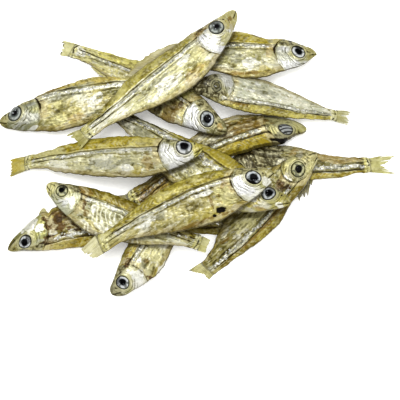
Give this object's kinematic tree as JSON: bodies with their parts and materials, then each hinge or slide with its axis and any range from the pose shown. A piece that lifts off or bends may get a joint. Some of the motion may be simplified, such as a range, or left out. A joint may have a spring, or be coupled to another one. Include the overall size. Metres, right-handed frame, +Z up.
{
  "type": "heap of dried fish",
  "caption": "Small loose heap of whole dried lake fish lying on and across each other, dull silver flanks, olive-yellow backs and short tail fins.",
  "frame": {"origin": "the surface the heap lies on, under the middle of the heap", "axes": "+X to the right and +Y to the back as the picture shows the heap, +Z up"},
  "size_m": [0.115, 0.082, 0.02],
  "materials": {
    "dried_fish_skin": "dull silver dried skin over straw-yellow flesh, satin"
  },
  "bodies": {
    "root": {"charal_right_low": "dried_fish_skin", "charal_left_low": "dried_fish_skin", "charal_front_low": "dried_fish_skin", "charal_front_right": "dried_fish_skin", "charal_right_rolled": "dried_fish_skin", "charal_centre": "dried_fish_skin", "charal_back_cross": "dried_fish_skin", "charal_back_left": "dried_fish_skin", "charal_left_front": "dried_fish_skin", "charal_right_middle": "dried_fish_skin", "charal_back_right": "dried_fish_skin", "charal_left_middle": "dried_fish_skin", "charal_top_front": "dried_fish_skin", "charal_top_back": "dried_fish_skin"}
  },
  "joints": []
}
